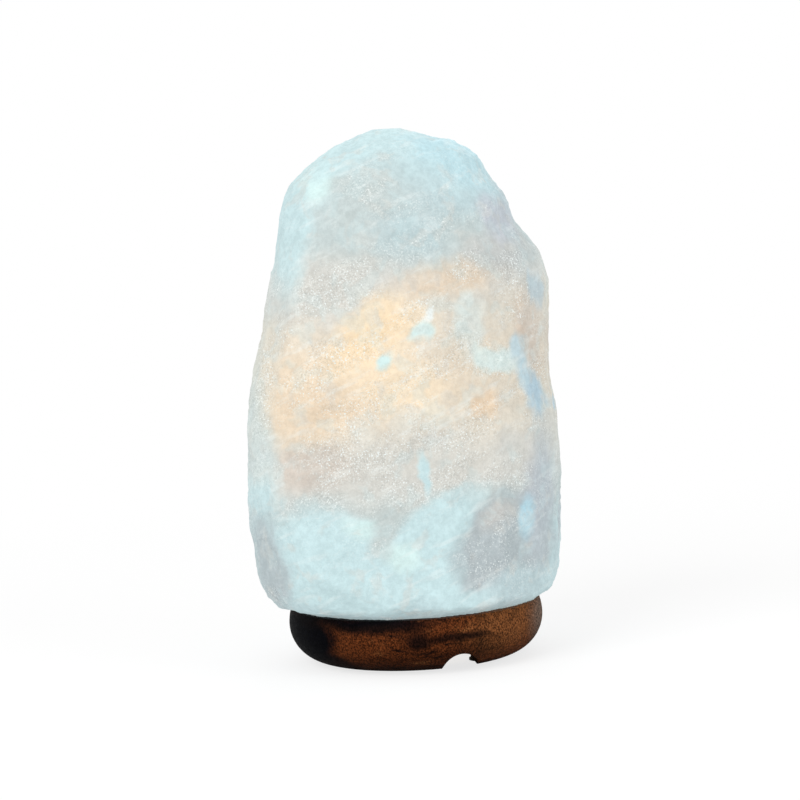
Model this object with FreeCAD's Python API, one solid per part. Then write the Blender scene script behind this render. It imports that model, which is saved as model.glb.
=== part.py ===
import FreeCAD, Part
import math
import os

# Salt crystal lamp: a hewn block of rock salt on a turned wooden base. A small bulb in a
# screw holder stands in a bore from below, held by two spring clips.
# Millimetres, +Z up. The origin is on the floor under the middle of the base, and the front
# of the lamp faces -Y. An angle round Z is in degrees from the front, turning towards +X.

# How far a cut runs past the face that it opens, and how close two places count as one
cut_margin = 1.0
same_place = 0.01

# Wooden base and its felt pads
wood_diameter = 103.2
wood_height = 22.2
wood_corner_radius = 15.5
wood_top_inset = 1.2
bore_diameter = 48.0
pad_diameter = 11.0
pad_thickness = 0.8
pad_angles = (60, 125, 235, 300)

# Channel for the lead, cut in the underside beside the middle line
groove_width = 15.0
groove_depth = 7.3
groove_offset = 12.5
groove_angle = 6

# Screws that hold the salt on the base
screw_diameter = 4.0
screw_length = 38.0
screw_point_length = 5.0
screw_head_diameter = 8.0
screw_head_height = 2.6
screw_recess_depth = 4.65
screw_cross_width = 1.0
screw_cross_depth = 1.4
screw_cross_span = 4.8
screw_head_clearance = 0.4
screw_wood_clearance = 0.2
screw_salt_clearance = 0.05
screw_hole_spare = 1.0
screw_angles = (80, 200, 320)

# Rock salt block
crystal_height = 191.3
crystal_width = 128.0
crystal_depth = 100.0
crystal_skew = 15.0
crystal_sides = 18
crystal_chip = 1.8
crystal_chip_lift_ratio = 0.6
crystal_chip_turn = 2.3
crystal_chip_climb = 1.9
crystal_chipped_levels = range(3, 15)
cavity_edge = 7.0
bulb_headroom = 18.0

# Bulb unit, from the clip strip upwards
unit_height = 38.0
strip_thickness = 0.8
strip_width = 10.0
strip_bend_radius = 1.6
ear_height = 4.0
bracket_eye_diameter = 18.0
ear_gap = 1.7
clip_root_gap = 0.35
clip_rise = 28.0
clip_tip_rise = 5.5
clip_tip_return = 2.4
clip_wall_clearance = 0.4

gland_diameter = 10.0
gland_bore_diameter = 7.0
gland_collar_diameter = 15.0
gland_collar_height = 6.0
gland_stand_up = 2.5
gland_clearance = 0.1
grub_diameter = 3.0
grub_length = 3.6
grub_slot_width = 0.6
grub_slot_depth = 0.8

holder_diameter = 27.0
holder_wall = 1.7
cap_height = 12.0
cap_floor = 2.5
spigot_height = 5.0
spigot_wall = 1.9
thread_gap = 0.1
rib_count = 12
rib_depth = 0.5
rib_margin = 2.0
casing_height = 28.0
casing_roof = 1.6
casing_neck_gap = 1.2

core_flange_height = 4.3
core_clearance = 0.2
core_leg_height = 10.0
core_leg_width = 9.0
core_web = 3.2
terminal_height = 6.5
terminal_width = 6.0
terminal_clearance = 0.1
terminal_wire_diameter = 2.2
terminal_wire_depth = 2.9
terminal_screw_rise = 2.275
terminal_screw_diameter = 2.5
terminal_screw_head_diameter = 4.0
terminal_screw_head_height = 1.2
link_thickness = 0.8
link_rise = 3.9
link_width = 4.2
rivet_diameter = 1.6

shell_wall = 0.4
shell_height = 16.5
shell_floor_hole_diameter = 8.0
plunger_head_diameter = 5.4
plunger_head_height = 1.5
plunger_stem_diameter = 2.6
plunger_stem_length = 15.0
plunger_running_gap = 0.05
spring_wire_diameter = 0.45
spring_turns = 3
spring_length = 4.2
spring_pocket_depth = 2.0
spring_end_gap = 0.05

# Bulb with a small screw cap
bulb_cap_diameter = 13.85
bulb_cap_height = 16.5
bulb_cap_wall = 0.3
bulb_thread_gap = 0.15
tip_diameter = 4.8
tip_height = 1.2
tip_flat_diameter = 2.88
tip_slope_height = 0.84
insulator_height = 3.3
insulator_lower_diameter = 6.4
insulator_upper_diameter = 12.6
glass_diameter = 24.0
glass_neck_diameter = 11.2
glass_wall = 0.7
glass_neck_height = 9.0
glass_neck_overlap = 8.5
glass_ball_rise = 26.0
cement_height = 6.5
bulb_fit_gap = 0.05
stem_rim_height = 1.0
stem_flare_height = 9.0
stem_height = 17.0
stem_rod_diameter = 4.0
lead_diameter = 0.6
lead_spread = 7.0
lead_rise = 12.0
lead_root_spread = 1.2
lead_side_offset = 3.7
filament_diameter = 0.7
filament_bow = 5.0
support_diameter = 0.3
support_root_spread = 0.5
support_root_forward = 1.2
support_spread = 2.45

# Heights and radii that follow from the sizes above
wood_top = pad_thickness + wood_height
wood_radius = wood_diameter / 2
foot_radius = wood_radius - wood_corner_radius
bore_radius = bore_diameter / 2
foot_ring_radius = (bore_radius + foot_radius) / 2

holder_radius = holder_diameter / 2
casing_bore_radius = holder_radius - holder_wall
spigot_radius = casing_bore_radius - thread_gap
cap_bore_radius = spigot_radius - spigot_wall
casing_base = unit_height + cap_height
core_base = casing_base + spigot_height
core_top = core_base + core_flange_height
casing_top = casing_base + casing_height
core_leg_base = core_base - core_leg_height
core_leg_reach = math.sqrt((cap_bore_radius - core_clearance) ** 2 - (core_leg_width / 2) ** 2)

bulb_cap_radius = bulb_cap_diameter / 2
shell_inner_radius = bulb_cap_radius + bulb_thread_gap
shell_radius = shell_inner_radius + shell_wall
spring_pocket_floor = core_top - spring_pocket_depth
plunger_head_base = spring_pocket_floor + spring_length
bulb_base = plunger_head_base + plunger_head_height
insulator_base = bulb_base + tip_height
bulb_cap_base = insulator_base + insulator_height
bulb_cap_top = bulb_cap_base + bulb_cap_height
glass_base = bulb_cap_top - glass_neck_overlap
glass_neck_top = glass_base + glass_neck_height
glass_ball_centre = glass_neck_top + glass_ball_rise
bulb_top = glass_ball_centre + glass_diameter / 2
stem_top = glass_base + stem_height
filament_height = stem_top + lead_rise
cavity_top = bulb_top + bulb_headroom

# The salt block's outline, one row a level: height as a share of its height; reach to the
# left and right as shares of half its width; reach to the front and back as shares of half
# its depth; skew, the share of the full skew that slides the left side forwards; and
# squareness, the power of the oval, where 2 is an ellipse and more is squarer.
crystal_outline = (
    (0.000, 0.785, 0.790, 0.94, 0.95, 0.00, 1.75),
    (0.021, 0.900, 0.884, 1.08, 1.06, 0.20, 2.3),
    (0.047, 0.953, 0.919, 1.10, 1.08, 0.40, 2.5),
    (0.089, 0.989, 0.945, 1.10, 1.08, 0.65, 2.5),
    (0.246, 1.017, 0.983, 1.06, 1.05, 1.00, 2.5),
    (0.376, 0.998, 0.975, 1.04, 1.05, 1.00, 2.5),
    (0.455, 0.980, 0.940, 1.02, 1.01, 1.00, 2.5),
    (0.560, 0.895, 0.945, 0.99, 0.98, 1.00, 2.5),
    (0.664, 0.822, 0.955, 0.95, 0.95, 1.00, 2.5),
    (0.727, 0.775, 0.900, 0.92, 0.90, 1.00, 2.5),
    (0.789, 0.745, 0.765, 0.87, 0.86, 0.90, 2.5),
    (0.852, 0.705, 0.700, 0.80, 0.80, 0.75, 2.5),
    (0.894, 0.655, 0.595, 0.70, 0.72, 0.60, 2.5),
    (0.936, 0.503, 0.534, 0.58, 0.60, 0.45, 2.5),
    (0.967, 0.352, 0.398, 0.43, 0.45, 0.30, 2.5),
    (0.988, 0.205, 0.185, 0.26, 0.27, 0.15, 2.5),
    (1.000, 0.095, 0.055, 0.14, 0.14, 0.05, 2.5),
)


def point(x, y, z):
    return FreeCAD.Vector(x, y, z)


def heading(angle):
    """Unit vector on the floor, a number of degrees from the front towards +X."""
    turn = math.radians(angle)
    return point(math.sin(turn), -math.cos(turn), 0)


def disc(radius, low, high, x=0.0, y=0.0):
    return Part.makeCylinder(radius, high - low, point(x, y, low))


def ring(outer, inner, low, high):
    return disc(outer, low, high).cut(disc(inner, low - cut_margin, high + cut_margin))


def block(x_low, x_high, y_low, y_high, low, high):
    size = (x_high - x_low, y_high - y_low, high - low)
    return Part.makeBox(*size, point(x_low, y_low, low))


def turned(corners):
    """A solid of revolution about Z from a closed outline of (radius, height) corners."""
    outline = [point(radius, 0, height) for radius, height in corners]
    face = Part.Face(Part.makePolygon(outline + outline[:1]))
    return face.revolve(point(0, 0, 0), point(0, 0, 1), 360)


def arc(first, middle, last):
    return Part.Arc(first, middle, last).toShape()


def line(first, last):
    return Part.LineSegment(first, last).toShape()


def bend(first, corner, last):
    """The arc between two points whose tangents there meet at a corner."""
    weight = first.distanceToPoint(last) / (2 * first.distanceToPoint(corner))
    middle = (first + last + corner * (2 * weight)) * (1 / (2 + 2 * weight))
    return arc(first, middle, last)


def arc_pair(first, first_along, last, last_along):
    """Two arcs, smooth where they meet, that leave and arrive along unit directions."""
    gap = last - first
    run = gap.dot(first_along + last_along)
    turn = 2 * (1 - first_along.dot(last_along))
    reach = (math.sqrt(run**2 + turn * gap.dot(gap)) - run) / turn
    near = first + first_along * reach
    far = last - last_along * reach
    middle = (near + far) * 0.5
    return [bend(first, near, middle), bend(middle, far, last)]


def write(name, *solids):
    shape = solids[0] if len(solids) == 1 else Part.makeCompound(list(solids))
    shape.exportStep("parts/" + name + ".step")


def ring_places(angles):
    """Places round the flat ring of the base, halfway between the bore and the corner."""
    return [heading(angle) * foot_ring_radius for angle in angles]


# Base: wood, pads and screws

def wood_body():
    """The turned disc: flat underside, rounded lower corner, drawn in a little at the top."""
    widest = pad_thickness + wood_corner_radius
    rise = wood_top - widest
    upper_radius = (rise**2 + wood_top_inset**2) / (2 * wood_top_inset)
    half_turn = math.asin(rise / upper_radius) / 2
    slant = wood_corner_radius * math.sqrt(0.5)

    middle_low = point(0, 0, pad_thickness)
    foot = point(foot_radius, 0, pad_thickness)
    corner = point(foot_radius + slant, 0, widest - slant)
    side = point(wood_radius, 0, widest)
    bulge = point(
        wood_radius - upper_radius * (1 - math.cos(half_turn)),
        0,
        widest + upper_radius * math.sin(half_turn),
    )
    rim = point(wood_radius - wood_top_inset, 0, wood_top)
    middle_high = point(0, 0, wood_top)
    outline = Part.Wire([
        line(middle_low, foot),
        arc(foot, corner, side),
        arc(side, bulge, rim),
        line(rim, middle_high),
        line(middle_high, middle_low),
    ])
    return Part.Face(outline).revolve(point(0, 0, 0), point(0, 0, 1), 360)


def groove():
    """The round-topped channel, from inside the bore out past the rim."""
    along = heading(groove_angle)
    start = heading(groove_angle + 90) * groove_offset
    start.z = pad_thickness + groove_depth - groove_width / 2
    return Part.makeCylinder(groove_width / 2, wood_diameter, start, along)


def wood_base():
    wood = wood_body().cut(disc(bore_radius, 0, wood_top + cut_margin)).cut(groove())
    seat = pad_thickness + screw_recess_depth
    for place in ring_places(screw_angles):
        hole_radius = screw_diameter / 2 + screw_wood_clearance
        hole = disc(hole_radius, 0, wood_top + cut_margin, place.x, place.y)
        recess_radius = screw_head_diameter / 2 + screw_head_clearance
        recess = disc(recess_radius, 0, seat, place.x, place.y)
        wood = wood.cut(hole).cut(recess)
    return wood


def felt_pads():
    places = ring_places(pad_angles)
    return [disc(pad_diameter / 2, 0, pad_thickness, place.x, place.y) for place in places]


def base_screw(place):
    """A cross-head screw, point up, its head seated in the recess under the wood."""
    seat = pad_thickness + screw_recess_depth
    head_low = seat - screw_head_height
    end = seat + screw_length
    neck = end - screw_point_length
    head = disc(screw_head_diameter / 2, head_low, seat)
    shank = disc(screw_diameter / 2, seat, neck)
    tip = Part.makeCone(screw_diameter / 2, 0, screw_point_length, point(0, 0, neck))
    reach = screw_cross_span / 2
    half = screw_cross_width / 2
    cross = block(-reach, reach, -half, half, head_low, head_low + screw_cross_depth)
    cross = cross.fuse(block(-half, half, -reach, reach, head_low, head_low + screw_cross_depth))
    screw = head.fuse([shank, tip]).cut(cross)
    screw.translate(place)
    return screw


# Rock salt block

def crystal_corner(level, side):
    """A corner of the block: a skewed, squarish oval, chipped on its front and back faces."""
    share, left, right, front, back, skew, squareness = crystal_outline[level]
    turn = 2 * math.pi * side / crystal_sides
    power = 2 / squareness
    across = math.copysign(abs(math.cos(turn)) ** power, math.cos(turn))
    along = math.copysign(abs(math.sin(turn)) ** power, math.sin(turn))
    sideways = crystal_width / 2 * (right if across > 0 else left)
    deep = crystal_depth / 2 * (back if along > 0 else front)
    chipped = level in crystal_chipped_levels
    wave = math.sin(crystal_chip_turn * side + crystal_chip_climb * level)
    chip = crystal_chip * wave if chipped else 0
    x = sideways * across
    y = (deep + chip) * along + crystal_skew * skew * across
    height = crystal_height * share + chip * along * crystal_chip_lift_ratio
    return point(x, y, wood_top + height)


def triangle(first, second, third):
    return Part.Face(Part.makePolygon([first, second, third, first]))


def crystal_block():
    """The faceted block: triangles between the levels, with a flat foot and a small flat top."""
    levels = range(len(crystal_outline))
    rings = [[crystal_corner(level, side) for side in range(crystal_sides)] for level in levels]
    faces = [Part.Face(Part.makePolygon(end + end[:1])) for end in (rings[0], rings[-1])]
    for level in range(len(rings) - 1):
        low, high = rings[level], rings[level + 1]
        for side in range(crystal_sides):
            after = (side + 1) % crystal_sides
            if (side + level) % 2:
                faces.append(triangle(low[side], low[after], high[after]))
                faces.append(triangle(low[side], high[after], high[side]))
            else:
                faces.append(triangle(low[side], low[after], high[side]))
                faces.append(triangle(low[after], high[after], high[side]))
    shell = Part.makeShell(faces)
    shell.sewShape()
    solid = Part.Solid(shell)
    if solid.Volume < 0:
        solid.reverse()
    return solid


def salt_crystal():
    """The block with its blind bore, whose roof is bevelled, and the three screw holes."""
    cavity = turned([
        (0, wood_top - cut_margin),
        (bore_radius, wood_top - cut_margin),
        (bore_radius, cavity_top - cavity_edge),
        (bore_radius - cavity_edge, cavity_top),
        (0, cavity_top),
    ])
    salt = crystal_block().cut(cavity)
    hole_top = pad_thickness + screw_recess_depth + screw_length + screw_hole_spare
    hole_radius = screw_diameter / 2 + screw_salt_clearance
    for place in ring_places(screw_angles):
        salt = salt.cut(disc(hole_radius, wood_top - cut_margin, hole_top, place.x, place.y))
    return salt


# Clip strip and its two arms

def strip(path):
    """A flat strip of the clip's width, standing on a closed outline in the XZ plane."""
    corners = [point(x, -strip_width / 2, z) for x, z in path]
    face = Part.Face(Part.makePolygon(corners + corners[:1]))
    return face.extrude(point(0, strip_width, 0))


def ear_reach():
    return holder_radius + ear_gap + strip_thickness


def clip_bracket():
    """The cross strip under the holder: a round eye on the gland, and ends bent up into ears."""
    out = ear_reach()
    low = unit_height - strip_thickness
    ear_top = unit_height + ear_height
    outer = block(-out, out, -strip_width / 2, strip_width / 2, low, ear_top)
    inner_out = out - strip_thickness
    inner_top = ear_top + cut_margin
    inner = block(-inner_out, inner_out, -strip_width, strip_width, unit_height, inner_top)
    bracket = outer.cut(inner)
    bends = [edge for edge in bracket.Edges if is_ear_bend(edge, out, low)]
    bracket = bracket.makeFillet(strip_bend_radius, bends)
    bracket = bracket.fuse(disc(bracket_eye_diameter / 2, low, unit_height)).removeSplitter()
    hole_radius = gland_diameter / 2 + gland_clearance
    return bracket.cut(disc(hole_radius, low - cut_margin, unit_height + cut_margin))


def is_ear_bend(edge, out, low):
    middle = edge.CenterOfMass
    place = point(abs(middle.x), middle.y, middle.z)
    return place.distanceToPoint(point(out, 0, low)) < same_place


def clip(side):
    """A spring arm: up and out from its ear to the bore's wall, then turned in at the tip."""
    root_x = ear_reach() - strip_thickness / 2
    root_z = unit_height + ear_height + clip_root_gap
    reach = math.sqrt((bore_radius - clip_wall_clearance) ** 2 - (strip_width / 2) ** 2)
    elbow_x = reach - strip_thickness / 2
    elbow_z = root_z + clip_rise
    tip_x = elbow_x - clip_tip_return
    tip_z = elbow_z + clip_tip_rise
    half = strip_thickness / 2
    arm = strip([
        (side * (root_x + half), root_z),
        (side * (elbow_x + half), elbow_z),
        (side * (tip_x + half), tip_z),
        (side * (tip_x - half), tip_z),
        (side * (elbow_x - half), elbow_z),
        (side * (root_x - half), root_z),
    ])
    return arm


# Cord gland

def grub_height():
    return unit_height - strip_thickness - gland_collar_height / 2


def cord_gland():
    """A threaded nipple through the cap's floor, with a collar that clamps the strip."""
    collar_top = unit_height - strip_thickness
    collar_low = collar_top - gland_collar_height
    top = unit_height + cap_floor + gland_stand_up
    gland = disc(gland_collar_diameter / 2, collar_low, collar_top)
    gland = gland.fuse(disc(gland_diameter / 2, collar_top, top)).removeSplitter()
    gland = gland.cut(disc(gland_bore_diameter / 2, collar_low - cut_margin, top + cut_margin))
    hole_radius = grub_diameter / 2 + gland_clearance / 2
    hole = Part.makeCylinder(
        hole_radius, gland_collar_diameter, point(0, 0, grub_height()), point(0, -1, 0)
    )
    return gland.cut(hole)


def gland_screw():
    """The slotted grub screw in the collar's front, which nips the lead."""
    face = -gland_collar_diameter / 2
    middle = point(0, face, grub_height())
    screw = Part.makeCylinder(grub_diameter / 2, grub_length, middle, point(0, 1, 0))
    half = grub_slot_width / 2
    slot = block(
        -grub_diameter, grub_diameter,
        face - cut_margin, face + grub_slot_depth,
        grub_height() - half, grub_height() + half,
    )
    return screw.cut(slot)


# Lamp holder

def grip_ribs(low, high):
    """Shallow finger flutes, cut round the outside between two heights."""
    flutes = []
    for number in range(rib_count):
        angle = 2 * math.pi * number / rib_count
        away = holder_radius + rib_depth
        flutes.append(disc(2 * rib_depth, low, high, away * math.cos(angle), away * math.sin(angle)))
    return Part.makeCompound(flutes)


def holder_cap():
    """The lower cup: gland hole in its floor, and a spigot that screws up into the casing."""
    floor_top = unit_height + cap_floor
    cup = disc(holder_radius, unit_height, casing_base)
    cup = cup.fuse(disc(spigot_radius, casing_base, core_base)).removeSplitter()
    cup = cup.cut(disc(cap_bore_radius, floor_top, core_base + cut_margin))
    hole_radius = gland_diameter / 2 + gland_clearance
    cup = cup.cut(disc(hole_radius, unit_height - cut_margin, floor_top + cut_margin))
    return cup.cut(grip_ribs(unit_height + rib_margin, casing_base - rib_margin))


def holder_casing():
    """The sleeve round the screw shell; its shoulder holds the core down on the cap."""
    shoulder = core_top + core_clearance
    roof = casing_top - casing_roof
    mouth = shell_radius + core_clearance
    neck = shell_radius + casing_neck_gap
    sleeve = disc(holder_radius, casing_base, casing_top)
    sleeve = sleeve.cut(disc(casing_bore_radius, casing_base - cut_margin, shoulder))
    sleeve = sleeve.cut(disc(neck, shoulder - cut_margin, roof))
    sleeve = sleeve.cut(disc(mouth, roof - cut_margin, casing_top + cut_margin))
    rim = [edge for edge in sleeve.Edges if is_top_rim(edge)]
    return sleeve.makeFillet(holder_wall / 2, rim)


def is_top_rim(edge):
    box = edge.BoundBox
    return box.ZMin > casing_top - same_place and box.XMax > holder_radius - same_place


def terminal_reach():
    return core_web, core_leg_reach


def holder_core():
    """The insulating core: flange, terminal leg, plunger guide, spring pocket and pockets."""
    near, far = terminal_reach()
    half_leg = core_leg_width / 2
    core = disc(casing_bore_radius - core_clearance, core_base, core_top)
    leg = block(-far, far, -half_leg, half_leg, core_leg_base, core_base)
    core = core.fuse(leg).removeSplitter()
    half_pocket = terminal_width / 2 + terminal_clearance
    pocket_low = core_leg_base - cut_margin
    pocket_top = core_leg_base + terminal_height + terminal_clearance
    for side in (-1, 1):
        low, high = sorted((side * near, side * (far + cut_margin)))
        core = core.cut(block(low, high, -half_pocket, half_pocket, pocket_low, pocket_top))
    guide = plunger_stem_diameter / 2 + plunger_running_gap
    pocket = plunger_head_diameter / 2 + core_clearance
    over = core_top + cut_margin
    core = core.cut(disc(guide, core_leg_base - cut_margin, over))
    core = core.cut(disc(pocket, spring_pocket_floor, over))
    rivet = rivet_diameter / 2 + terminal_clearance
    core = core.cut(disc(rivet, pocket_top - cut_margin, over, -rivet_place(), 0))
    return core.cut(link_space(terminal_clearance))


def rivet_place():
    """Distance from the middle to the rivet, under the middle of the shell's floor ring."""
    return (shell_floor_hole_diameter / 2 + shell_radius) / 2


def link_base():
    return core_leg_base + link_rise


def link_space(clearance):
    """The slot for the strip that runs from the live terminal round the plunger's stem."""
    near, _ = terminal_reach()
    back = plunger_stem_diameter / 2 + link_thickness
    half = link_width / 2 + clearance
    low = link_base() - clearance
    high = link_base() + link_thickness + clearance
    return block(-back - clearance, near + cut_margin, -half, half, low, high)


def terminal_block(side):
    """A brass block with an upright wire hole and a screw hole from outside."""
    near, far = terminal_reach()
    inner = near + terminal_clearance
    outer = far - terminal_screw_head_height
    half = terminal_width / 2
    top = core_leg_base + terminal_height
    low, high = sorted((side * inner, side * outer))
    brass = block(low, high, -half, half, core_leg_base, top)
    middle = side * (inner + outer) / 2
    wire_radius = terminal_wire_diameter / 2
    wire_top = core_leg_base + terminal_wire_depth
    brass = brass.cut(disc(wire_radius, core_leg_base - cut_margin, wire_top, middle, 0))
    start = point(middle, 0, terminal_screw_height())
    radius = terminal_screw_diameter / 2 + terminal_clearance
    return brass.cut(Part.makeCylinder(radius, far, start, point(side, 0, 0)))


def terminal_screw_height():
    return core_leg_base + terminal_screw_rise


def live_terminal():
    """The block that feeds the centre contact, with its strip round the plunger's stem."""
    near, _ = terminal_reach()
    back = plunger_stem_diameter / 2 + link_thickness
    half = link_width / 2
    low = link_base()
    inner = near + terminal_clearance
    link = block(-back, inner, -half, half, low, low + link_thickness)
    hole_radius = plunger_stem_diameter / 2 + plunger_running_gap
    link = link.cut(disc(hole_radius, low - cut_margin, low + link_thickness + cut_margin))
    return terminal_block(1).fuse(link).removeSplitter()


def shell_terminal():
    """The block that feeds the screw shell, with a rivet up through the core."""
    top = core_leg_base + terminal_height
    rivet = disc(rivet_diameter / 2, top, core_top, -rivet_place(), 0)
    return terminal_block(-1).fuse(rivet).removeSplitter()


def terminal_screw(side):
    near, far = terminal_reach()
    seat = far - terminal_screw_head_height
    inner = (near + terminal_clearance + seat) / 2
    height = terminal_screw_height()
    out = point(side, 0, 0)
    shank = Part.makeCylinder(
        terminal_screw_diameter / 2, seat - inner, point(side * inner, 0, height), out
    )
    head = Part.makeCylinder(
        terminal_screw_head_diameter / 2,
        terminal_screw_head_height,
        point(side * seat, 0, height),
        out,
    )
    half = grub_slot_width / 2
    slot_floor = far - terminal_screw_head_height / 2
    low, high = sorted((side * slot_floor, side * (far + cut_margin)))
    slot = block(low, high, -terminal_screw_head_diameter, terminal_screw_head_diameter,
                 height - half, height + half)
    return shank.fuse(head).removeSplitter().cut(slot)


def screw_shell():
    """The thin metal cup that the bulb screws into, riveted to the core's top."""
    shell = disc(shell_radius, core_top, core_top + shell_height)
    over = core_top + shell_height + cut_margin
    shell = shell.cut(disc(shell_inner_radius, core_top + shell_wall, over))
    return shell.cut(disc(shell_floor_hole_diameter / 2, core_top - cut_margin, over))


def contact_plunger():
    """The sprung centre contact: a flat button on a stem that slides in the core."""
    head = disc(plunger_head_diameter / 2, plunger_head_base, bulb_base)
    stem_base = plunger_head_base - plunger_stem_length
    stem = disc(plunger_stem_diameter / 2, stem_base, plunger_head_base)
    return head.fuse(stem).removeSplitter()


def contact_spring():
    """The coil under the plunger's button, standing in the core's pocket."""
    wire = spring_wire_diameter / 2
    radius = plunger_head_diameter / 2 - wire
    low = spring_pocket_floor + spring_end_gap + wire
    climb = (spring_length - 2 * (spring_end_gap + wire)) / spring_turns
    quarter = math.pi / 2

    def place(turn):
        return point(radius * math.cos(turn), radius * math.sin(turn), low + climb * turn / (4 * quarter))

    def along(turn):
        slope = point(-radius * math.sin(turn), radius * math.cos(turn), climb / (4 * quarter))
        return slope.normalize()

    edges = []
    for number in range(4 * spring_turns):
        first, last = number * quarter, (number + 1) * quarter
        edges += arc_pair(place(first), along(first), place(last), along(last))
    profile = Part.Wire(Part.makeCircle(wire, place(0), along(0)))
    return Part.Wire(edges).makePipeShell([profile], True, False)


# Bulb

def bulb_tip():
    """The solder button, flat below where it meets the plunger."""
    radius = tip_diameter / 2
    return turned([
        (0, bulb_base),
        (tip_flat_diameter / 2, bulb_base),
        (radius, bulb_base + tip_slope_height),
        (radius, insulator_base),
        (0, insulator_base),
    ])


def bulb_insulator():
    cone = turned([
        (lead_hole_radius(), insulator_base),
        (insulator_lower_diameter / 2, insulator_base),
        (insulator_upper_diameter / 2, bulb_cap_base),
        (lead_hole_radius(), bulb_cap_base),
    ])
    return cone


def lead_hole_radius():
    return lead_diameter / 2 + bulb_fit_gap


def bulb_cap():
    """The metal screw cap, folded in at the bottom over the insulator."""
    inner = bulb_cap_radius - bulb_cap_wall
    over = bulb_cap_top + cut_margin
    cap = disc(bulb_cap_radius, bulb_cap_base, bulb_cap_top)
    cap = cap.cut(disc(inner, bulb_cap_base + bulb_cap_wall, over))
    opening = insulator_upper_diameter / 2 - 2 * bulb_cap_wall
    return cap.cut(disc(opening, bulb_cap_base - cut_margin, over))


def cap_cement():
    inner = glass_neck_diameter / 2 + bulb_fit_gap
    outer = bulb_cap_radius - bulb_cap_wall - bulb_fit_gap
    top = bulb_cap_top - bulb_cap_wall
    return ring(outer, inner, top - cement_height, top)


def glass_outline(inset):
    """Edges of the bulb's side, neck first, drawn inwards by a wall thickness."""
    neck = glass_neck_diameter / 2 - inset
    ball = glass_diameter / 2 - inset
    reach = math.hypot(neck, glass_ball_rise)
    start = -math.acos(neck / reach) + math.acos(ball / reach)
    middle = (start + math.pi / 2) / 2

    def on_ball(angle):
        return point(ball * math.cos(angle), 0, glass_ball_centre + ball * math.sin(angle))

    foot = point(neck, 0, glass_base)
    shoulder = point(neck, 0, glass_neck_top)
    crown = point(0, 0, glass_ball_centre + ball)
    return foot, crown, [
        line(foot, shoulder),
        line(shoulder, on_ball(start)),
        arc(on_ball(start), on_ball(middle), crown),
    ]


def bulb_glass():
    """The hollow glass: a straight neck, a cone and a round end, open at the neck."""
    outer_foot, outer_crown, outer = glass_outline(0)
    inner_foot, inner_crown, inner = glass_outline(glass_wall)
    edges = outer + [line(outer_crown, inner_crown)] + inner + [line(inner_foot, outer_foot)]
    outline = Part.Wire(Part.__sortEdges__(edges))
    return Part.Face(outline).revolve(point(0, 0, 0), point(0, 0, 1), 360)


def bulb_stem():
    """The glass foot inside the neck, drawn up into a rod that carries the wires."""
    flare = glass_neck_diameter / 2 - glass_wall - bulb_fit_gap
    rod = stem_rod_diameter / 2
    return turned([
        (0, glass_base),
        (flare, glass_base),
        (flare, glass_base + stem_rim_height),
        (rod, glass_base + stem_flare_height),
        (rod, stem_top),
        (0, stem_top),
    ])


def wire(first, last, diameter):
    along = last - first
    return Part.makeCylinder(diameter / 2, along.Length, first, along)


def lead_wires():
    """Two leads under the stem, to the tip and the cap, and two above it to the filament."""
    floor = bulb_cap_base + bulb_cap_wall
    leads = [
        wire(point(0, 0, insulator_base), point(0, 0, glass_base), lead_diameter),
        wire(point(-lead_side_offset, 0, floor), point(-lead_side_offset, 0, glass_base), lead_diameter),
    ]
    for side in (-1, 1):
        foot = point(side * lead_root_spread, 0, stem_top + lead_diameter / 2)
        end = point(side * lead_spread, 0, filament_height - filament_diameter)
        leads.append(wire(foot, end, lead_diameter))
    return leads


def filament():
    """The filament's bow from one lead to the other, by way of the front."""
    ends = [point(side * lead_spread, 0, filament_height) for side in (-1, 1)]
    bow = arc(ends[0], point(0, -filament_bow, filament_height), ends[1])
    start = bow.Curve.tangent(bow.FirstParameter)[0]
    profile = Part.Wire(Part.makeCircle(filament_diameter / 2, ends[0], start))
    return Part.Wire(bow).makePipeShell([profile], True, False)


def filament_supports():
    """Two fine wires from the stem's top that end just under the filament."""
    bow_radius = (lead_spread**2 + filament_bow**2) / (2 * filament_bow)
    forward = filament_bow - bow_radius + math.sqrt(bow_radius**2 - support_spread**2)
    low = stem_top + support_diameter / 2
    high = filament_height - filament_diameter / 2 - support_diameter
    supports = []
    for side in (-1, 1):
        foot = point(side * support_root_spread, -support_root_forward, low)
        end = point(side * support_spread, -forward, high)
        supports.append(wire(foot, end, support_diameter))
    return supports


def main():
    os.makedirs("parts", exist_ok=True)
    write("wood_base", wood_base())
    write("felt_pads", *felt_pads())
    write("base_screws", *[base_screw(place) for place in ring_places(screw_angles)])
    write("salt_crystal", salt_crystal())

    write("clip_bracket", clip_bracket())
    write("clip_left", clip(-1))
    write("clip_right", clip(1))
    write("cord_gland", cord_gland())
    write("gland_screw", gland_screw())
    write("holder_cap", holder_cap())
    write("holder_casing", holder_casing())
    write("holder_core", holder_core())
    write("live_terminal", live_terminal())
    write("shell_terminal", shell_terminal())
    write("terminal_screws", terminal_screw(-1), terminal_screw(1))
    write("screw_shell", screw_shell())
    write("contact_plunger", contact_plunger())
    write("contact_spring", contact_spring())

    write("bulb_tip", bulb_tip())
    write("bulb_insulator", bulb_insulator())
    write("bulb_cap", bulb_cap())
    write("cap_cement", cap_cement())
    write("bulb_glass", bulb_glass())
    write("bulb_stem", bulb_stem())
    write("lead_wires", *lead_wires())
    write("filament", filament())
    write("filament_supports", *filament_supports())


main()
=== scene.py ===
import math

import bpy
import numpy as np
from mathutils import Matrix, Vector, kdtree, noise

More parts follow.
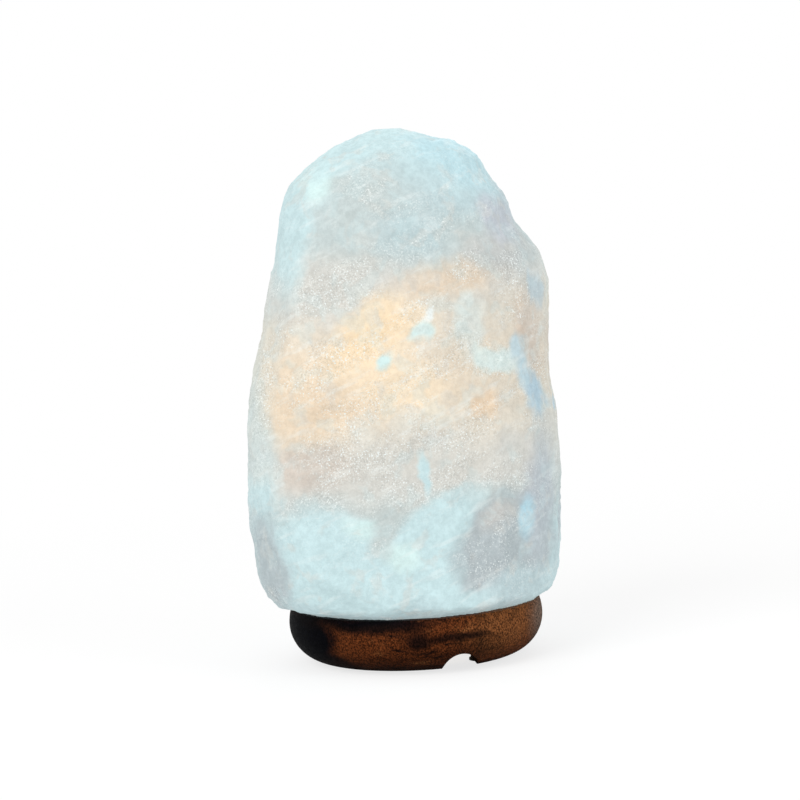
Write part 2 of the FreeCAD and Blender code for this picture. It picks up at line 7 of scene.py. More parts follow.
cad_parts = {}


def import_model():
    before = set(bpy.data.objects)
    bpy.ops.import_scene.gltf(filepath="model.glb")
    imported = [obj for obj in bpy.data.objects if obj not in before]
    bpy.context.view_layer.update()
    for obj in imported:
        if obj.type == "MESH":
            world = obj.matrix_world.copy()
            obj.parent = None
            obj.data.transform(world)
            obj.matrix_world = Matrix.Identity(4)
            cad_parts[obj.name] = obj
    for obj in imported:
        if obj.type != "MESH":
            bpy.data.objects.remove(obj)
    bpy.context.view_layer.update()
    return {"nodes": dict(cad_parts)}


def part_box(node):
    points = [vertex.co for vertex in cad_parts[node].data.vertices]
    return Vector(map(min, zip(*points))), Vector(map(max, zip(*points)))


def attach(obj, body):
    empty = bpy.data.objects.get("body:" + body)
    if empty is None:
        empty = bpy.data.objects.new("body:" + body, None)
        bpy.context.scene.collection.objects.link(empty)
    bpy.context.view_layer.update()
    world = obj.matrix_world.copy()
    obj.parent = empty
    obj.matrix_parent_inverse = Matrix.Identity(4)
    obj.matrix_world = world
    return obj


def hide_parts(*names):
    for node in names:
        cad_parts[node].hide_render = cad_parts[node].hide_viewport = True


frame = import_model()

scene = bpy.context.scene
scene.view_settings.view_transform = "Standard"

# Salt crystal lamp. Metres, +Z up, the front faces -Y. Sizes inside materials are in
# millimetres, because their textures read the place in millimetres.

# Camera: its target, how far it stands, how far it looks down and leans, and its lens
camera_target = Vector((-0.0020, 0.0, 0.1049))
camera_distance = 1.100
camera_pitch = 5.0
camera_lean = 2.9
camera_lens = 122.2

# Light
sky_strength = 0.52
key_light = ((-0.95, -1.30, 1.20), 1.1, 17.0)
fill_light = ((1.25, -1.00, 0.70), 1.0, 6.0)
back_light = ((0.30, 1.50, 0.90), 1.0, 3.0)

# Carving of the salt: mesh step, flat chops, round scoops and pits, and grit
mesh_step = 0.0010
chop_count = 420
chop_depths = (0.0002, 0.0008)
chop_tilt = 0.07
chop_reach = 0.015
chop_limit = 0.0010
hollow_sizes = (0.7, 1.25)
hollow_depths = (0.3, 1.3)
hollow_reach = 0.75
scoop_spacing = 0.0075
scoop_depth = 0.00065
pit_spacing = 0.0034
pit_depth = 0.00026
grit_depth = 0.00012
grit_frequency = 700
carving_mean = 0.00075
carving_seed = 7
smoothing_rounds = 10

# The carving fades towards the foot, and leaves the bore, the screw holes and the foot alone
foot_fade = 0.0040
foot_least = 0.15
foot_reach = 0.040
bore_margin = 0.0025
roof_margin = 0.0195
screw_reach = 0.034
screw_height = 0.023

# What the salt's material reads: the carving's relief, which dims the glow in the pits and
# brightens it on the ridges as painted shade and light, and how far a face looks sideways, which
# tints it as painted shade
relief_span = 0.0016
side_shade_start = 0.55
side_shade_span = 0.4
side_shade_share = 0.25

# Floor: half its width, where it fades to plain white, its own light and its greys
floor_half = 4.0
floor_fade = (0.18, 0.60)
floor_glow = 0.75
floor_grey = 0.30
floor_bounce = 0.62
white = (1.0, 1.0, 1.0, 1.0)

# Parts of the salt's brightness that come from the bulb inside and from the room
inner_share = 0.56
outer_share = 0.50


# Colours, 0 to 255 a channel as a display shows them

def tone(red, green, blue):
    """The linear colour that a shader takes."""
    def linear(value):
        share = value / 255
        return share / 12.92 if share <= 0.04045 else ((share + 0.055) / 1.055) ** 2.4

    return (linear(red), linear(green), linear(blue), 1.0)


frost = tone(245, 252, 250)
dew = tone(229, 241, 235)
foam = tone(223, 232, 227)
bone = tone(232, 231, 221)
mint = tone(217, 242, 240)
ice = tone(206, 232, 235)
glacier = tone(199, 233, 241)
azure = tone(186, 222, 235)
brook = tone(198, 222, 231)
sky = tone(191, 211, 221)
creek = tone(186, 212, 227)
haze = tone(196, 218, 222)
mist = tone(203, 213, 211)
slate = tone(184, 194, 197)
lilac = tone(193, 200, 207)
violet = tone(204, 208, 217)
ash = tone(206, 203, 199)
pearl = tone(219, 218, 211)
rose = tone(214, 202, 190)
blush = tone(223, 205, 187)
sand = tone(230, 221, 205)
peach = tone(243, 224, 198)
cream = tone(252, 232, 202)
amber = tone(238, 215, 187)
honey = tone(255, 230, 193)

# Bands of colour up the salt: height in millimetres, colour. The sand and peach bands round the
# middle paint the bulb's warm glow into the salt's colour.
salt_bands = (
    (23, haze),
    (36, ice),
    (54, ice),
    (67, mist),
    (78, pearl),
    (98, sand),
    (120, peach),
    (140, sand),
    (155, pearl),
    (168, mist),
    (186, haze),
    (214, ice),
)

# Patches on the salt: colour, x, z, half width, half height, lean (degrees anticlockwise),
# softness of the edge, strength. The widest come first. The cream, honey, peach, amber and
# sand patches round the middle paint the bulb's warm glow; the slate, lilac, sky, creek and
# brook patches at the sides paint shade.
salt_patches = (
    (mist, -14, 186, 22, 15, 0, 0.6, 0.8),
    (slate, 45, 166, 12, 12, -50, 0.6, 0.5),
    (mist, 34, 170, 16, 8, 0, 0.6, 0.5),
    (pearl, -36, 153, 24, 12, 10, 0.6, 0.9),
    (sand, 26, 128, 26, 24, 0, 0.5, 0.5),
    (peach, -32, 111, 26, 17, 12, 0.5, 1.0),
    (cream, -10, 135, 21, 11, 26, 0.5, 1.0),
    (cream, -4, 117, 22, 12, -25, 0.6, 0.9),
    (amber, 20, 155, 19, 6, 6, 0.5, 0.7),
    (honey, -13, 137, 15, 8, 26, 0.6, 0.9),
    (amber, -32, 110, 13, 8, 12, 0.6, 0.4),
    (pearl, 2, 84, 32, 12, 0, 0.6, 0.7),
    (rose, -39, 84, 15, 8, 0, 0.6, 0.8),
    (ash, 40, 165, 11, 7, 0, 0.6, 0.6),
    (haze, -58, 95, 6, 34, 3, 0.8, 0.6),
    (foam, -58, 78, 6, 9, 0, 0.8, 0.9),
    (violet, 42, 179, 6, 11, 30, 0.6, 0.9),
    (mint, -32, 196, 11, 8, 35, 0.5, 1.0),
    (ice, -17, 205, 22, 5, 18, 0.6, 0.9),
    (glacier, 24, 202, 19, 7, -28, 0.6, 0.9),
    (mist, -15, 192, 9, 5, -20, 0.6, 0.9),
    (ice, -41, 176, 7, 24, -8, 0.5, 0.9),
    (haze, 7, 170, 15, 9, -20, 0.7, 0.7),
    (ice, -27, 46, 28, 19, -18, 0.25, 0.95),
    (ice, -58, 71, 7, 8, -10, 0.6, 0.9),
    (ice, 8, 53, 20, 15, 40, 0.25, 0.95),
    (mint, -3, 49, 8, 5, -10, 0.5, 1.0),
    (mint, -19, 60, 7, 5, 0, 0.5, 0.9),
    (ice, 19, 69, 14, 6, 14, 0.4, 0.7),
    (mist, -11, 61, 6, 11, -10, 0.5, 0.9),
    (slate, -56, 46, 8, 19, 14, 0.4, 1.0),
    (slate, 38, 48, 23, 20, 55, 0.2, 1.0),
    (rose, 33, 60, 8, 5, 40, 0.6, 0.4),
    (lilac, 52, 68, 7, 22, 0, 0.6, 0.9),
    (haze, 44, 33, 18, 6, 15, 0.6, 0.8),
    (azure, 46, 60, 4, 8, -12, 0.5, 1.0),
    (ice, 21, 29, 12, 4, 0, 0.7, 0.8),
    (blush, 50, 128, 6, 17, 3, 0.6, 1.0),
    (sky, 53, 147, 2.5, 8, 5, 0.5, 0.8),
    (foam, 27, 136, 5, 12, 0, 0.5, 0.8),
    (mint, 8, 136, 4, 3, 20, 0.5, 1.0),
    (frost, 11, 142, 2, 3, -20, 0.6, 0.9),
    (mint, -7, 126, 4, 3, 25, 0.5, 1.0),
    (dew, 36, 122, 9, 3.5, -30, 0.4, 1.0),
    (brook, 44, 124, 3, 6, 0, 0.5, 0.9),
    (brook, 47, 114, 3.5, 7, 12, 0.5, 1.0),
    (creek, 51, 104, 4, 8, 20, 0.5, 1.0),
    (amber, 32, 105, 6, 5, 20, 0.4, 1.0),
    (bone, 0, 101, 6, 5, 0, 0.7, 0.6),
    (bone, -17, 98, 6, 6, 0, 0.7, 0.5),
    (ice, 5, 81, 2.2, 8, 8, 0.5, 1.0),
    (pearl, 39, 86, 8, 6, 30, 0.6, 0.9),
)

# Clouds over the patches: tint, size, shift to other noise, from and to, strength
salt_clouds = (
    (ice, 9, (70, 0, 0), 0.52, 0.66, 0.22),
    (pearl, 8, (0, 90, 0), 0.54, 0.68, 0.35),
)


# Node graphs

def new_material(name):
    """A material with a Principled shader: the material, its node tree and the shader."""
    material = bpy.data.materials.new(name)
    material.use_nodes = True
    tree = material.node_tree
    tree.nodes.clear()
    shader = tree.nodes.new("ShaderNodeBsdfPrincipled")
    output = tree.nodes.new("ShaderNodeOutputMaterial")
    tree.links.new(shader.outputs["BSDF"], output.inputs["Surface"])
    return material, tree, shader


def add(tree, kind, inputs=None, **settings):
    """A shader node. An input is set to a value, or joined to another node's output."""
    node = tree.nodes.new("ShaderNode" + kind)
    for name, value in settings.items():
        setattr(node, name, value)
    for socket, value in (inputs or {}).items():
        feed(tree, node.inputs[socket], value)
    return node


def feed(tree, socket, value):
    if isinstance(value, bpy.types.NodeSocket):
        tree.links.new(value, socket)
    else:
        socket.default_value = value


def surface_place(tree):
    """The place on the piece, in millimetres."""
    place = add(tree, "TexCoord").outputs["Object"]
    return add(tree, "VectorMath", {0: place, "Scale": 1000.0}, operation="SCALE").outputs[0]


def stretched(tree, place, stretch, shift=(0.0, 0.0, 0.0)):
    """The place, divided by a stretch along each axis and shifted to other noise."""
    divided = add(tree, "VectorMath", {0: place, 1: stretch}, operation="DIVIDE").outputs[0]
    return add(tree, "VectorMath", {0: divided, 1: shift}, operation="ADD").outputs[0]


def blotches(tree, place, size, detail=2.0, rough=0.5):
    """Noise round 0.5 whose blotches are about size across."""
    values = {"Vector": place, "Scale": 1 / size, "Detail": detail, "Roughness": rough}
    return add(tree, "TexNoise", values).outputs["Fac"]


def cells(tree, place, size):
    """Distance to the nearest of points strewn about size apart."""
    values = {"Vector": place, "Scale": 1 / size}
    return add(tree, "TexVoronoi", values).outputs["Distance"]


def wandering(tree, place, size, reach, detail=3.0):
    """The place, shifted about by noise, so that edges drawn from it wander."""
    values = {"Vector": place, "Scale": 1 / size, "Detail": detail}
    colour = add(tree, "TexNoise", values).outputs["Color"]
    middle = add(tree, "VectorMath", {0: colour, 1: (0.5, 0.5, 0.5)}, operation="SUBTRACT")
    shift = add(tree, "VectorMath", {0: middle.outputs[0], "Scale": reach}, operation="SCALE")
    return add(tree, "VectorMath", {0: place, 1: shift.outputs[0]}, operation="ADD").outputs[0]


def ranged(tree, value, low, high, first=0.0, last=1.0):
    """A smooth step from first, where value is low, to last, where it is high."""
    values = {"Value": value, "From Min": low, "From Max": high, "To Min": first, "To Max": last}
    node = add(tree, "MapRange", values, interpolation_type="SMOOTHSTEP")
    return node.outputs["Result"]


def maths(tree, operation, first, second=0.0):
    return add(tree, "Math", {0: first, 1: second}, operation=operation).outputs[0]


def mixed(tree, share, first, second, mode="MIX"):
    """One colour, blended with another by a share from 0 to 1."""
    inputs = {0: share, 6: first, 7: second}
    return add(tree, "Mix", inputs, data_type="RGBA", blend_type=mode).outputs[2]


def oval(tree, place, x, z, width, height, lean, soft, strength):
    """Strength inside a leaning oval on the front and back, 0 outside it."""
    values = {
        "Vector": place,
        "Location": (x, 0, z),
        "Rotation": (0, math.radians(-lean), 0),
        "Scale": (width, 1e6, height),
    }
    inside = add(tree, "Mapping", values, vector_type="TEXTURE").outputs[0]
    reach = add(tree, "VectorMath", {0: inside}, operation="LENGTH").outputs["Value"]
    return ranged(tree, reach, 1 + soft, 1 - soft, 0.0, strength)


def ramp(tree, value, stops):
    """A colour ramp from (place, colour) stops, with places from 0 to 1."""
    node = add(tree, "ValToRGB", {0: value})
    elements = node.color_ramp.elements
    while len(elements) < len(stops):
        elements.new(1.0)
    for element, (place, colour) in zip(elements, stops):
        element.position = place
        element.color = colour
    return node.outputs["Color"]


def bumped(tree, shader, height, strength, distance):
    values = {"Height": height, "Strength": strength, "Distance": distance}
    tree.links.new(add(tree, "Bump", values).outputs["Normal"], shader.inputs["Normal"])


def shaded(tree, shader, **inputs):
    """Sets or joins a shader's inputs, named with underscores for spaces."""
    for name, value in inputs.items():
        feed(tree, shader.inputs[name.replace("_", " ")], value)


# Rock salt

def salt_material():
    """Pale salt, lit from inside: bands, patches and clouds, under crowds of fine grains. The warm
    middle and the cream bore are painted glow, the greyer sides painted shade.
    """
    material, tree, shader = new_material("rock_salt")
    place = surface_place(tree)
    deep = add(tree, "SeparateXYZ", {0: place}).outputs["Y"]
    back = ranged(tree, deep, -25, 35, 14.0, 60.0)
    loose = wandering(tree, place, 30, back, 2)
    ragged = wandering(tree, loose, 6, 6.0, 5)

    height = add(tree, "SeparateXYZ", {0: loose}).outputs["Z"]
    top = salt_bands[-1][0]
    stops = [(level / top, colour) for level, colour in salt_bands]
    colour = ramp(tree, maths(tree, "DIVIDE", height, top), stops)
    for tint, *shape in salt_patches:
        colour = mixed(tree, oval(tree, ragged, *shape), colour, tint)

    for tint, size, shift, low, high, strength in salt_clouds:
        clouds = blotches(tree, stretched(tree, ragged, (1, 1, 1), shift), size, 2)
        colour = mixed(tree, ranged(tree, clouds, low, high, 0.0, strength), colour, tint)
    veins = blotches(tree, leaning(tree, place, 24, (6, 6, 1)), 3.0, 3)
    colour = mixed(tree, ranged(tree, veins, 0.55, 0.70, 0.0, 0.25), colour, frost)

    # Painted shade: faces that look sideways are tinted towards haze.
    side_shade = add(tree, "Attribute", attribute_name="side_shade").outputs["Fac"]
    colour = mixed(tree, maths(tree, "MULTIPLY", side_shade, side_shade_share), colour, haze)
    # Painted glow: the bore's walls are coloured cream for the bulb's light on them.
    bore = add(tree, "Attribute", attribute_name="bore").outputs["Fac"]
    colour = mixed(tree, bore, colour, cream)

    mottle = blotches(tree, place, 2.6, 4, 0.7)
    dim = ranged(tree, mottle, 0.35, 0.65, 0.93, 1.04)
    colour = mixed(tree, 1.0, colour, grey(tree, dim), "MULTIPLY")
    crowd = grain_crowd(tree, place, colour)
    colour = grains(tree, place, colour, crowd)

    # Painted shade and light: the glow is dimmed in the carved pits and brightened on the ridges.
    relief = add(tree, "Attribute", attribute_name="relief").outputs["Fac"]
    pit_shade_ridge_light = ranged(tree, relief, 0.0, 1.0, 0.92, 1.05)
    glow = mixed(tree, 1.0, colour, grey(tree, pit_shade_ridge_light), "MULTIPLY")
    skin = mixed(tree, 1.0, colour, (outer_share, outer_share, outer_share, 1), "MULTIPLY")
    shaded(tree, shader, Base_Color=skin, Emission_Color=glow, Emission_Strength=inner_share)
    shaded(tree, shader, Roughness=ranged(tree, mottle, 0.3, 0.7, 0.65, 0.45))
    shaded(tree, shader, Specular_IOR_Level=0.2)
    bumped(tree, shader, mottle, 0.5, 0.0006)
    return material


def leaning(tree, place, degrees, stretch):
    """The place, stretched along a line that leans a number of degrees from the floor."""
    values = {"Vector": place, "Rotation": (0, math.radians(-degrees), 0), "Scale": stretch}
    return add(tree, "Mapping", values, vector_type="TEXTURE").outputs[0]


def grey(tree, value):
    return add(tree, "CombineColor", {0: value, 1: value, 2: value}).outputs["Color"]


def grain_crowd(tree, place, colour):
    """How dense the grains are: in clusters, and more on grey and sand than on ice."""
    channels = add(tree, "SeparateColor", {0: colour}).outputs
    warmth = maths(tree, "SUBTRACT", channels[0], channels[2])
    warm = ranged(tree, warmth, -0.20, 0.02, 0.25, 1.0)
    wide = blotches(tree, leaning(tree, place, 20, (2.2, 2.2, 1)), 13, 3, 0.6)
    cluster = ranged(tree, wide, 0.42, 0.60, 0.12, 1.0)
    return maths(tree, "MULTIPLY", warm, cluster)


def grains(tree, place, colour, crowd):
    """A colour with white grains and dull gaps between them, strongest where it is crowded."""
    grit = blotches(tree, place, 0.7, 2, 0.7)
    white = maths(tree, "MULTIPLY", ranged(tree, grit, 0.56, 0.66), crowd)
    dull = maths(tree, "MULTIPLY", ranged(tree, grit, 0.46, 0.36, 0.0, 0.35), crowd)
    colour = mixed(tree, dull, colour, slate, "MULTIPLY")
    colour = mixed(tree, white, colour, frost)
    sparks = ranged(tree, cells(tree, place, 2.3), 0.15, 0.09)
    return mixed(tree, maths(tree, "MULTIPLY", sparks, crowd), colour, frost)


def even_mesh(node, step):
    """A copy of a node's mesh, rebuilt with even faces fine enough to carve."""
    source = bpy.data.objects.new("source", frame["nodes"][node].data.copy())
    scene.collection.objects.link(source)
    remesh = source.modifiers.new("even", "REMESH")
    remesh.mode = "VOXEL"
    remesh.voxel_size = step
    graph = bpy.context.evaluated_depsgraph_get()
    mesh = bpy.data.meshes.new_from_object(source.evaluated_get(graph))
    bpy.data.objects.remove(source)
    return mesh


def vertex_array(mesh, what):
    values = np.zeros(len(mesh.vertices) * 3)
    mesh.vertices.foreach_get(what, values)
    return values.reshape(-1, 3)


def broad_normals(mesh):
    """Vertex normals, averaged with their neighbours' until the facets' edges are soft."""
    edges = np.zeros(len(mesh.edges) * 2, int)
    mesh.edges.foreach_get("vertices", edges)
    first, second = edges.reshape(-1, 2).T
    normals = vertex_array(mesh, "normal")
    for _ in range(smoothing_rounds):
        total = normals.copy()
        np.add.at(total, first, normals[second])
        np.add.at(total, second, normals[first])
        normals = total / np.linalg.norm(total, axis=1)[:, None]
    return normals


def salt_bore(points):
    """True for the points of the bore and of its roof."""
    _, glass_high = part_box("bulb_glass")
    _, bore_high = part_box("clip_right")
    away = np.hypot(points[:, 0], points[:, 1])
    return (away < bore_high.x + bore_margin) & (points[:, 2] < glass_high.z + roof_margin)


def salt_skin(points):
    """True for the points of the outside, not of the bore, the screw holes or the foot."""
    low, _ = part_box("salt_crystal")
    away = np.hypot(points[:, 0], points[:, 1])
    foot = (points[:, 2] < low.z + mesh_step) & (away < foot_reach)
    holes = (points[:, 2] < low.z + screw_height) & (away < screw_reach)
    return ~salt_bore(points) & ~foot & ~holes


def chop(points, normals, skin, chance):
    """Cuts flat chips off the skin, where planes lie a little under it."""
    places = np.flatnonzero(skin)
    depth = np.zeros(len(points))
    for _ in range(chop_count):
        at = chance.choice(places)
        facing = normals[at] + chance.normal(0, chop_tilt, 3)
        facing /= np.linalg.norm(facing)
        from_middle = points - points[at]
        away = np.linalg.norm(from_middle, axis=1)
        near = skin & (away < chop_reach)
        over = (from_middle[near] @ facing) + chance.uniform(*chop_depths)
        over *= 1 - (away[near] / chop_reach) ** 4
        depth[near] = np.maximum(depth[near], over)
    return chop_limit * (1 - np.exp(-depth / chop_limit))


def hollows(points, skin, spacing, depth, chance):
    """Depth at each point of round hollows that meet in ridges, about a spacing apart."""
    places = np.flatnonzero(skin)
    area = len(places) * mesh_step**2
    chosen = chance.choice(places, int(area / spacing**2), replace=False)
    tree = kdtree.KDTree(len(chosen))
    for number, at in enumerate(chosen):
        tree.insert(points[at], number)
    tree.balance()
    sizes = chance.uniform(*hollow_sizes, len(chosen))
    depths = depth * chance.uniform(*hollow_depths, len(chosen))
    found = np.zeros(len(points))
    for at in places:
        _, number, away = tree.find(points[at])
        reach = spacing * sizes[number] * hollow_reach
        found[at] = depths[number] * (1 - min(away / reach, 1) ** 2)
    return found


def salt_block():
    """The hewn block: the CAD block's skin with chips, scoops, pits and grit cut in it."""
    mesh = even_mesh("salt_crystal", mesh_step)
    low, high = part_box("salt_crystal")
    chance = np.random.default_rng(carving_seed)
    points = vertex_array(mesh, "co")
    normals = broad_normals(mesh)
    skin = salt_skin(points)
    depth = chop(points, normals, skin, chance)
    depth += hollows(points, skin, scoop_spacing, scoop_depth, chance)
    depth += hollows(points, skin, pit_spacing, pit_depth, chance)
    grit = [noise.noise(point * grit_frequency) for point in map(Vector, points)]
    depth += grit_depth * np.array(grit)
    depth -= carving_mean
    depth[~skin] = 0
    depth *= np.clip((points[:, 2] - low.z) / foot_fade, foot_least, 1)
    carved = np.clip(points - depth[:, None] * normals, low, high)
    foot = points[:, 2] < low.z + mesh_step * 0.7
    carved[foot, 2] = low.z

    mesh.vertices.foreach_set("co", carved.ravel())
    mesh.polygons.foreach_set("use_smooth", np.ones(len(mesh.polygons), bool))
    # How far each face looks sideways, kept for the material's painted shade.
    sideways = np.clip((np.abs(normals[:, 0]) - side_shade_start) / side_shade_span, 0, 1)
    keep_value(mesh, "relief", np.clip(0.5 - depth / relief_span, 0, 1))
    keep_value(mesh, "side_shade", np.where(skin, sideways, 0.0))
    keep_value(mesh, "bore", salt_bore(points).astype(float))
    mesh.update()
    block = bpy.data.objects.new("salt_block", mesh)
    scene.collection.objects.link(block)
    mesh.materials.clear()
    mesh.materials.append(salt_material())
    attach(block, "lamp_body")
    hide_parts("salt_crystal")
    return block


def keep_value(mesh, name, values):
    """Stores one number a vertex, for the material to read."""
    mesh.attributes.new(name, "FLOAT", "POINT").data.foreach_set("value", values)


# Wooden base

def wood_material():
    """Dark stained wood, its grain along X: black at the left, which is painted shade, then brown,
    grey at the right.
    """
    material, tree, shader = new_material("stained_wood")
    place = surface_place(tree)
    bent = wandering(tree, place, 18, 7.0, 3)
    fibres = blotches(tree, stretched(tree, bent, (7, 1, 1)), 1.5, 4, 0.6)
    figure = blotches(tree, stretched(tree, bent, (2.4, 1, 1), (5, 0, 0)), 7, 3, 0.6)
    tan = tone(132, 82, 46)
    brown = tone(92, 47, 22)
    dark = tone(24, 12, 9)
    black = tone(3, 3, 7)
    ashen = tone(112, 108, 101)
    halves = [maths(tree, "MULTIPLY", part, 0.5) for part in (fibres, figure)]
    mixture = maths(tree, "ADD", *halves)
    colour = ramp(tree, mixture, [(0.38, dark), (0.48, brown), (0.57, brown), (0.66, tan)])
    for tint, *shape in wood_patches(tan, brown, dark, black, ashen):
        colour = mixed(tree, oval(tree, bent, *shape), colour, tint)
    specks = blotches(tree, stretched(tree, place, (1, 1, 1.5), (0, 3, 0)), 0.55, 3, 0.8)
    pore = ranged(tree, specks, 0.40, 0.62, 0.22, 1.85)
    colour = mixed(tree, 1.0, colour, grey(tree, pore), "MULTIPLY")
    shaded(tree, shader, Base_Color=colour, Roughness=ranged(tree, fibres, 0.3, 0.7, 0.6, 0.48))
    shaded(tree, shader, Specular_IOR_Level=0.03)
    bumped(tree, shader, specks, 0.35, 0.0004)
    return material


def wood_patches(tan, brown, dark, black, ashen):
    """Patches on the wood's front, written as the salt's are. The black ones at the left end are
    painted shade, the dark and black strips along the top are the salt's painted shadow, and the
    soft dark ones low down make the wood darker towards the bottom.
    """
    return (
        (tan, 38, 17, 17, 9, 10, 0.6, 0.8),
        (brown, -24, 13, 9, 6, -35, 0.6, 0.9),
        # Painted shade: the wood's left end black.
        (black, -46, 12, 13, 14, -25, 0.3, 1.0),
        (black, -34, 4, 14, 4, -10, 0.5, 0.9),
        (ashen, 50, 17, 4, 9, 0, 0.8, 0.55),
        # Painted shadow: the salt's shadow along the wood's top.
        (dark, -18, 21, 22, 3, 0, 0.6, 1.0),
        (black, -20, 23, 26, 2, 0, 0.6, 0.9),
        (dark, 1, 15, 6, 4, 0, 0.6, 0.95),
        (dark, 17, 14.5, 13, 2, 0, 0.6, 0.9),
        # Darker towards the bottom.
        (dark, 22, 8, 12, 4, 15, 0.8, 0.5),
        (dark, -8, 5, 22, 4, 0, 0.8, 0.5),
        (dark, 0, 0, 60, 3.5, 0, 0.5, 0.8),
    )


# Bulb unit, screws and pads

def metal_material(name, colour, rough, brush):
    """Metal with fine turning marks along a stretch, and dull spots."""
    material, tree, shader = new_material(name)
    place = surface_place(tree)
    marks = blotches(tree, stretched(tree, place, brush), 0.4, 3)
    spots = blotches(tree, place, 4, 3)
    dull = tuple(channel * 0.72 for channel in colour[:3]) + (1.0,)
    shaded(tree, shader, Metallic=1.0)
    shaded(tree, shader, Base_Color=mixed(tree, ranged(tree, spots, 0.4, 0.7), colour, dull))
    shaded(tree, shader, Roughness=ranged(tree, marks, 0.3, 0.7, rough - 0.08, rough + 0.12))
    bumped(tree, shader, marks, 0.15, 0.0001)
    return material


def plastic_material(name, colour, rough):
    """Moulded plastic or ceramic with a faint orange-peel skin."""
    material, tree, shader = new_material(name)
    place = surface_place(tree)
    peel = blotches(tree, place, 0.8, 2)
    clouds = blotches(tree, place, 7, 2)
    worn = tuple(channel * 0.86 for channel in colour[:3]) + (1.0,)
    shaded(tree, shader, Base_Color=mixed(tree, ranged(tree, clouds, 0.4, 0.7), colour, worn))
    shaded(tree, shader, Roughness=ranged(tree, peel, 0.3, 0.7, rough - 0.05, rough + 0.08))
    bumped(tree, shader, peel, 0.12, 0.0001)
    return material


def felt_material():
    material, tree, shader = new_material("felt")
    place = surface_place(tree)
    fibres = blotches(tree, wandering(tree, place, 1.2, 1.5), 0.35, 4, 0.7)
    colour = ramp(tree, fibres, [(0.35, tone(34, 30, 29)), (0.65, tone(78, 72, 68))])
    shaded(tree, shader, Base_Color=colour, Roughness=0.95)
    shaded(tree, shader, Specular_IOR_Level=0.1, Sheen_Weight=0.4)
    bumped(tree, shader, fibres, 0.7, 0.0004)
    return material


def glass_material():
    material, tree, shader = new_material("clear_glass")
    place = surface_place(tree)
    smears = blotches(tree, place, 6, 2)
    shaded(tree, shader, Base_Color=tone(252, 252, 250), Transmission_Weight=1.0, IOR=1.45)
    shaded(tree, shader, Roughness=ranged(tree, smears, 0.4, 0.7, 0.0, 0.06))
    return material


def filament_material():
    material, tree, shader = new_material("filament_glow")
    place = surface_place(tree)
    stops = [(0.3, tone(255, 190, 110)), (0.7, tone(255, 226, 170))]
    heat = ramp(tree, blotches(tree, place, 1.5, 2), stops)
    shaded(tree, shader, Base_Color=heat, Emission_Color=heat, Emission_Strength=3.0, Roughness=0.5)
    return material


def dress(material, *nodes):
    for name in nodes:
        node = frame["nodes"][name]
        node.data.materials.clear()
        node.data.materials.append(material)


steel = tone(196, 198, 200)
brass = tone(214, 176, 96)

# Metals: name, colour, roughness, stretch of the turning marks, nodes
metals = (
    ("zinc_steel", tone(205, 200, 178), 0.32, (1, 1, 1), ["base_screws"]),
    ("spring_steel", steel, 0.26, (1, 1, 12), ["clip_bracket", "clip_left", "clip_right"]),
    ("zinc_screw", steel, 0.35, (1, 1, 1), ["gland_screw", "terminal_screws"]),
    ("terminal_brass", brass, 0.3, (8, 1, 1), ["live_terminal", "shell_terminal"]),
    ("shell_brass", brass, 0.28, (1, 1, 0.3), ["screw_shell", "contact_plunger"]),
    ("coil_steel", steel, 0.3, (1, 1, 1), ["contact_spring"]),
    ("cap_metal", tone(208, 208, 204), 0.3, (6, 6, 1), ["bulb_cap"]),
    ("solder", tone(176, 178, 180), 0.45, (1, 1, 1), ["bulb_tip"]),
    ("lead_metal", tone(170, 160, 140), 0.35, (1, 1, 6), ["lead_wires", "filament_supports"]),
)

# Plastics, ceramic, cement and black glass: name, colour, roughness, nodes
plastics = (
    ("holder_plastic", tone(236, 232, 220), 0.35, ["holder_cap", "holder_casing"]),
    ("gland_plastic", tone(40, 40, 42), 0.4, ["cord_gland"]),
    ("core_ceramic", tone(228, 222, 206), 0.5, ["holder_core"]),
    ("cement", tone(186, 178, 160), 0.85, ["cap_cement"]),
    ("black_glass", tone(20, 18, 22), 0.12, ["bulb_insulator"]),
)


def dress_nodes():
    """Gives every CAD node that shows its own material."""
    dress(wood_material(), "wood_base")
    dress(felt_material(), "felt_pads")
    for name, colour, rough, brush, nodes in metals:
        dress(metal_material(name, colour, rough, brush), *nodes)
    for name, colour, rough, nodes in plastics:
        dress(plastic_material(name, colour, rough), *nodes)
    dress(glass_material(), "bulb_glass", "bulb_stem")
    dress(filament_material(), "filament")


# Floor, light and camera

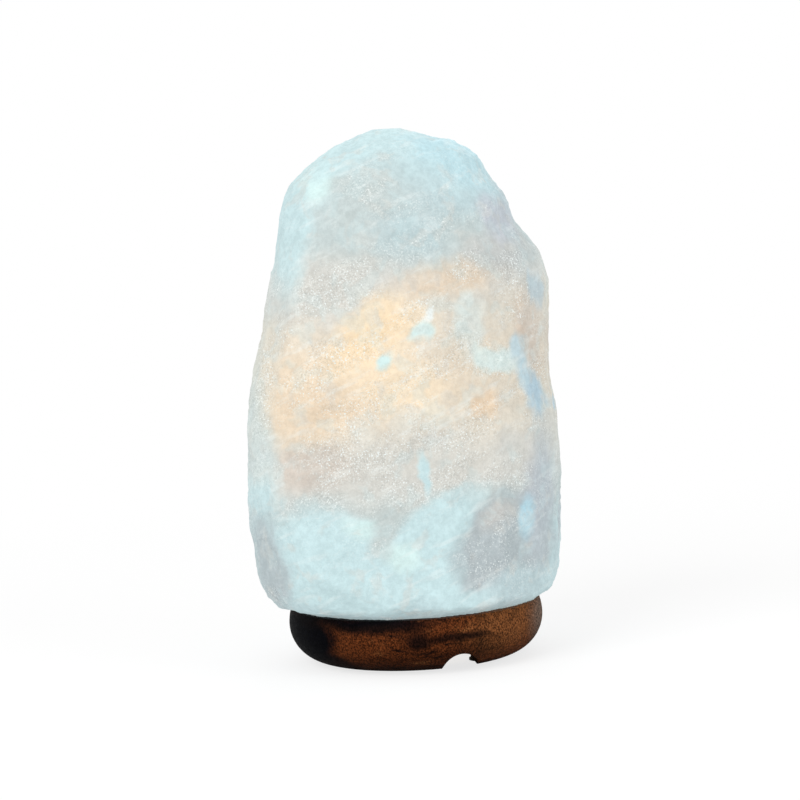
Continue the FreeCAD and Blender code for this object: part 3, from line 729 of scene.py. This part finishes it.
def floor():
    """A pale floor that shows white and keeps the lamp's shadow, and is open from below."""
    mesh = bpy.data.meshes.new("floor")
    turns = ((-1, -1), (1, -1), (1, 1), (-1, 1))
    corners = [(x * floor_half, y * floor_half, 0) for x, y in turns]
    mesh.from_pydata(corners, [], [(0, 1, 2, 3)])
    ground = bpy.data.objects.new("floor", mesh)
    scene.collection.objects.link(ground)
    material = bpy.data.materials.new("floor")
    material.use_nodes = True
    tree = material.node_tree
    tree.nodes.clear()
    lit = add(tree, "BsdfDiffuse", {"Color": (*[floor_grey] * 3, 1.0)}).outputs[0]
    pale = add(tree, "Emission", {"Color": white, "Strength": floor_glow}).outputs[0]
    near = add(tree, "AddShader", {0: lit, 1: pale}).outputs[0]
    bright = add(tree, "Emission", {"Color": white, "Strength": 1.0}).outputs[0]
    place = add(tree, "TexCoord").outputs["Object"]
    away = add(tree, "VectorMath", {0: place}, operation="LENGTH").outputs["Value"]
    far = ranged(tree, away, *floor_fade)
    seen = add(tree, "MixShader", {0: far, 1: near, 2: bright}).outputs[0]
    plain = add(tree, "BsdfDiffuse", {"Color": (*[floor_bounce] * 3, 1.0)}).outputs[0]
    top = add(tree, "MixShader", {0: seen_directly(tree), 1: plain, 2: seen}).outputs[0]
    clear = add(tree, "BsdfTransparent").outputs[0]
    below = add(tree, "NewGeometry").outputs["Backfacing"]
    surface = add(tree, "MixShader", {0: below, 1: top, 2: clear}).outputs[0]
    add(tree, "OutputMaterial", {"Surface": surface})
    mesh.materials.append(material)


def seen_directly(tree):
    """1 for rays from the camera, straight or through glass, and 0 for the rest."""
    path = add(tree, "LightPath").outputs
    return maths(tree, "MAXIMUM", path["Is Camera Ray"], path["Is Transmission Ray"])


def world():
    sky_world = bpy.data.worlds.new("studio")
    scene.world = sky_world
    sky_world.use_nodes = True
    tree = sky_world.node_tree
    tree.nodes.clear()
    strength = ranged(tree, seen_directly(tree), 0.0, 1.0, sky_strength, 1.0)
    background = add(tree, "Background", {"Color": white, "Strength": strength}).outputs[0]
    add(tree, "OutputWorld", {"Surface": background})


def area_light(name, place, size, power):
    data = bpy.data.lights.new(name, "AREA")
    data.size = size
    data.energy = power
    lamp = bpy.data.objects.new(name, data)
    lamp.location = place
    towards = camera_target - Vector(place)
    lamp.rotation_euler = towards.to_track_quat("-Z", "Y").to_euler()
    scene.collection.objects.link(lamp)


def camera():
    """Straight in front, looking down a little, and leaning, so that the lamp's left tips down."""
    pitch, lean = math.radians(camera_pitch), math.radians(camera_lean)
    ahead = Vector((0, math.cos(pitch), -math.sin(pitch)))
    level = Vector((1, 0, 0))
    upright = Vector((0, math.sin(pitch), math.cos(pitch)))
    right = level * math.cos(lean) - upright * math.sin(lean)
    up = level * math.sin(lean) + upright * math.cos(lean)
    data = bpy.data.cameras.new("camera")
    data.lens = camera_lens
    eye = bpy.data.objects.new("camera", data)
    turn = Matrix((right, up, -ahead)).transposed().to_4x4()
    eye.matrix_world = Matrix.Translation(camera_target - ahead * camera_distance) @ turn
    scene.collection.objects.link(eye)
    scene.camera = eye


camera()
floor()
world()
area_light("key", *key_light)
area_light("fill", *fill_light)
area_light("back", *back_light)
salt_block()
dress_nodes()
